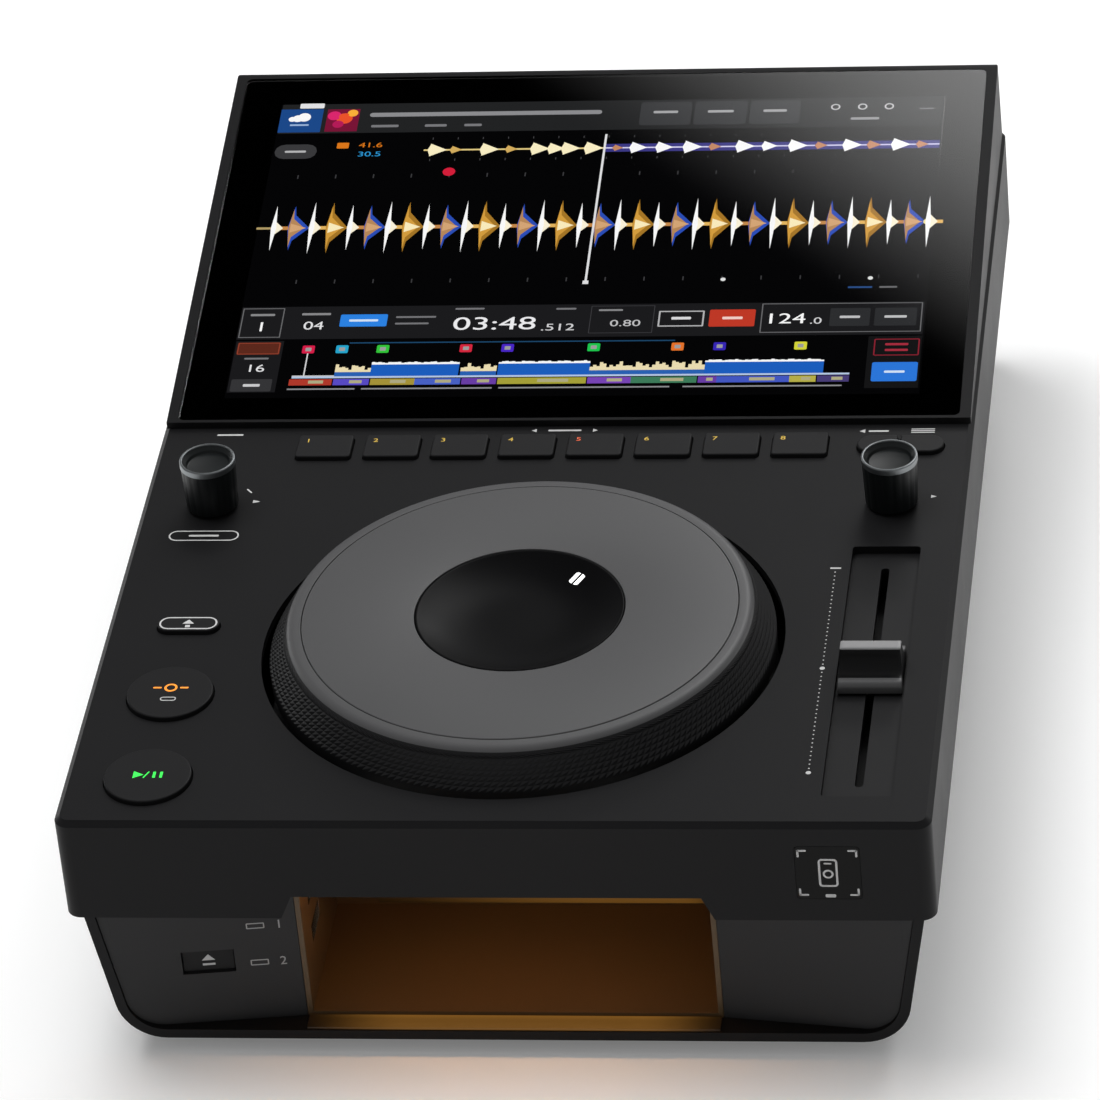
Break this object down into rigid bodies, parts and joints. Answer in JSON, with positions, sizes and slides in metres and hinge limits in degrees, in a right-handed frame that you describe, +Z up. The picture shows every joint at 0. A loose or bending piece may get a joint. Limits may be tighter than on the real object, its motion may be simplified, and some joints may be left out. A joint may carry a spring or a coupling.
{
  "type": "dj media player",
  "caption": "Desktop media player with a jog wheel, cue keys, tempo fader, rotary knobs, a tilted screen and an open lit bay for memory sticks.",
  "frame": {"origin": "centre of the footprint, on the desk", "axes": "+X to the player's right, +Y to its rear, +Z up"},
  "size_m": [0.245, 0.37, 0.1122],
  "materials": {
    "case_plastic": "dark grey, fine satin texture",
    "shell_plastic": "black, fine satin texture",
    "bezel_plastic": "dark grey, smooth satin",
    "bay_plastic": "dark, lit amber from its lamp",
    "lamp_plastic": "amber diffuser, lit",
    "jog_plastic": "dark grey satin, ribbed",
    "jog_plate_metal": "dark anodised, fine turned finish",
    "gloss_black": "black gloss",
    "key_rubber": "dark satin",
    "key_plastic": "dark satin",
    "knob_plastic": "dark satin with a bright ring",
    "fader_cap_plastic": "dark with a bright ridge",
    "display_glass": "clear cover glass with a black border",
    "panel_black": "display panel",
    "steel": "plain",
    "dark_steel": "black powder coat",
    "sheet_aluminium": "plain sheet",
    "board_green": "circuit board",
    "inner_plastic": "black moulding",
    "bearing_steel": "ground",
    "foot_rubber": "black"
  },
  "bodies": {
    "cabinet": {"bay_lamp": "lamp_plastic", "board_screws": "steel", "bottom_shell": "shell_plastic", "case_screws": "steel", "display_bracket": "sheet_aluminium", "display_glass": "display_glass", "display_housing": "case_plastic", "display_panel": "panel_black", "eject_board": "board_green", "encoder_cases": "inner_plastic", "fader_body": "steel", "fader_plate": "dark_steel", "feet": "foot_rubber", "jog_base": "inner_plastic", "jog_bearings": "bearing_steel", "jog_sensor": "inner_plastic", "key_switches": "inner_plastic", "left_bezel": "bezel_plastic", "left_key_board": "board_green", "main_board": "board_green", "mains_inlet": "inner_plastic", "pad_board": "board_green", "pad_window": "gloss_black", "power_board": "board_green", "rear_jacks": "steel", "rear_panel": "dark_steel", "right_bezel": "bezel_plastic", "right_key_board": "board_green", "top_case": "case_plastic", "usb_bay": "bay_plastic", "usb_board": "board_green", "usb_sockets": "steel"},
    "jog": {"jog_platter": "jog_plastic", "jog_top_plate": "jog_plate_metal", "jog_cap": "gloss_black", "jog_shaft": "steel", "jog_encoder_ring": "inner_plastic"},
    "tempo": {"fader_lever": "steel", "fader_cap": "fader_cap_plastic"},
    "left_push": {"left_encoder_plunger": "inner_plastic"},
    "left_turn": {"left_encoder_shaft": "steel", "left_knob": "knob_plastic"},
    "right_push": {"right_encoder_plunger": "inner_plastic"},
    "right_turn": {"right_encoder_shaft": "steel", "right_knob": "knob_plastic"},
    "hot_cue_1": {"hot_cue_key_1": "key_rubber"},
    "hot_cue_2": {"hot_cue_key_2": "key_rubber"},
    "hot_cue_3": {"hot_cue_key_3": "key_rubber"},
    "hot_cue_4": {"hot_cue_key_4": "key_rubber"},
    "hot_cue_5": {"hot_cue_key_5": "key_rubber"},
    "hot_cue_6": {"hot_cue_key_6": "key_rubber"},
    "hot_cue_7": {"hot_cue_key_7": "key_rubber"},
    "hot_cue_8": {"hot_cue_key_8": "key_rubber"},
    "play": {"play_key": "key_plastic"},
    "cue": {"cue_key": "key_plastic"},
    "shift": {"shift_key": "key_plastic"},
    "back": {"back_key": "key_plastic"},
    "menu": {"menu_key": "key_plastic"},
    "eject": {"eject_key": "key_plastic"},
    "power": {"power_key": "key_plastic"}
  },
  "joints": [
    {"name": "jog_spin", "type": "hinge", "parent": "cabinet", "child": "jog", "pos_m": [0, -0.0983, 0.09], "axis": [0, 0, 1], "continuous": true},
    {"name": "tempo_slide", "type": "slide", "parent": "cabinet", "child": "tempo", "axis": [0, 1, 0], "range_m": [-0.05, 0.05]},
    {"name": "left_knob_press", "type": "slide", "parent": "cabinet", "child": "left_push", "axis": [0, 0, -1], "range_m": [0, 0.0005], "stiffness_N_per_m": 2000, "springref_m": -0.0005},
    {"name": "left_knob_spin", "type": "hinge", "parent": "left_push", "child": "left_turn", "pos_m": [-0.101, -0.0281, 0.09], "axis": [0, 0, 1], "continuous": true},
    {"name": "right_knob_press", "type": "slide", "parent": "cabinet", "child": "right_push", "axis": [0, 0, -1], "range_m": [0, 0.0005], "stiffness_N_per_m": 2000, "springref_m": -0.0005},
    {"name": "right_knob_spin", "type": "hinge", "parent": "right_push", "child": "right_turn", "pos_m": [0.101, -0.0281, 0.09], "axis": [0, 0, 1], "continuous": true},
    {"name": "hot_cue_1_press", "type": "slide", "parent": "cabinet", "child": "hot_cue_1", "axis": [0, 0, -1], "range_m": [0, 0.0012], "stiffness_N_per_m": 400, "springref_m": -0.001},
    {"name": "hot_cue_2_press", "type": "slide", "parent": "cabinet", "child": "hot_cue_2", "axis": [0, 0, -1], "range_m": [0, 0.0012], "stiffness_N_per_m": 400, "springref_m": -0.001},
    {"name": "hot_cue_3_press", "type": "slide", "parent": "cabinet", "child": "hot_cue_3", "axis": [0, 0, -1], "range_m": [0, 0.0012], "stiffness_N_per_m": 400, "springref_m": -0.001},
    {"name": "hot_cue_4_press", "type": "slide", "parent": "cabinet", "child": "hot_cue_4", "axis": [0, 0, -1], "range_m": [0, 0.0012], "stiffness_N_per_m": 400, "springref_m": -0.001},
    {"name": "hot_cue_5_press", "type": "slide", "parent": "cabinet", "child": "hot_cue_5", "axis": [0, 0, -1], "range_m": [0, 0.0012], "stiffness_N_per_m": 400, "springref_m": -0.001},
    {"name": "hot_cue_6_press", "type": "slide", "parent": "cabinet", "child": "hot_cue_6", "axis": [0, 0, -1], "range_m": [0, 0.0012], "stiffness_N_per_m": 400, "springref_m": -0.001},
    {"name": "hot_cue_7_press", "type": "slide", "parent": "cabinet", "child": "hot_cue_7", "axis": [0, 0, -1], "range_m": [0, 0.0012], "stiffness_N_per_m": 400, "springref_m": -0.001},
    {"name": "hot_cue_8_press", "type": "slide", "parent": "cabinet", "child": "hot_cue_8", "axis": [0, 0, -1], "range_m": [0, 0.0012], "stiffness_N_per_m": 400, "springref_m": -0.001},
    {"name": "play_press", "type": "slide", "parent": "cabinet", "child": "play", "axis": [0, 0, -1], "range_m": [0, 0.0012], "stiffness_N_per_m": 400, "springref_m": -0.001},
    {"name": "cue_press", "type": "slide", "parent": "cabinet", "child": "cue", "axis": [0, 0, -1], "range_m": [0, 0.0012], "stiffness_N_per_m": 400, "springref_m": -0.001},
    {"name": "shift_press", "type": "slide", "parent": "cabinet", "child": "shift", "axis": [0, 0, -1], "range_m": [0, 0.0012], "stiffness_N_per_m": 400, "springref_m": -0.001},
    {"name": "back_press", "type": "slide", "parent": "cabinet", "child": "back", "axis": [0, 0, -1], "range_m": [0, 0.0012], "stiffness_N_per_m": 400, "springref_m": -0.001},
    {"name": "menu_press", "type": "slide", "parent": "cabinet", "child": "menu", "axis": [0, 0, -1], "range_m": [0, 0.0012], "stiffness_N_per_m": 400, "springref_m": -0.001},
    {"name": "eject_press", "type": "slide", "parent": "cabinet", "child": "eject", "axis": [-0.1177, 0.993, 0], "range_m": [0, 0.0012], "stiffness_N_per_m": 400, "springref_m": -0.001},
    {"name": "power_press", "type": "slide", "parent": "cabinet", "child": "power", "axis": [0, -1, 0], "range_m": [0, 0.0025], "stiffness_N_per_m": 600, "springref_m": -0.002}
  ]
}
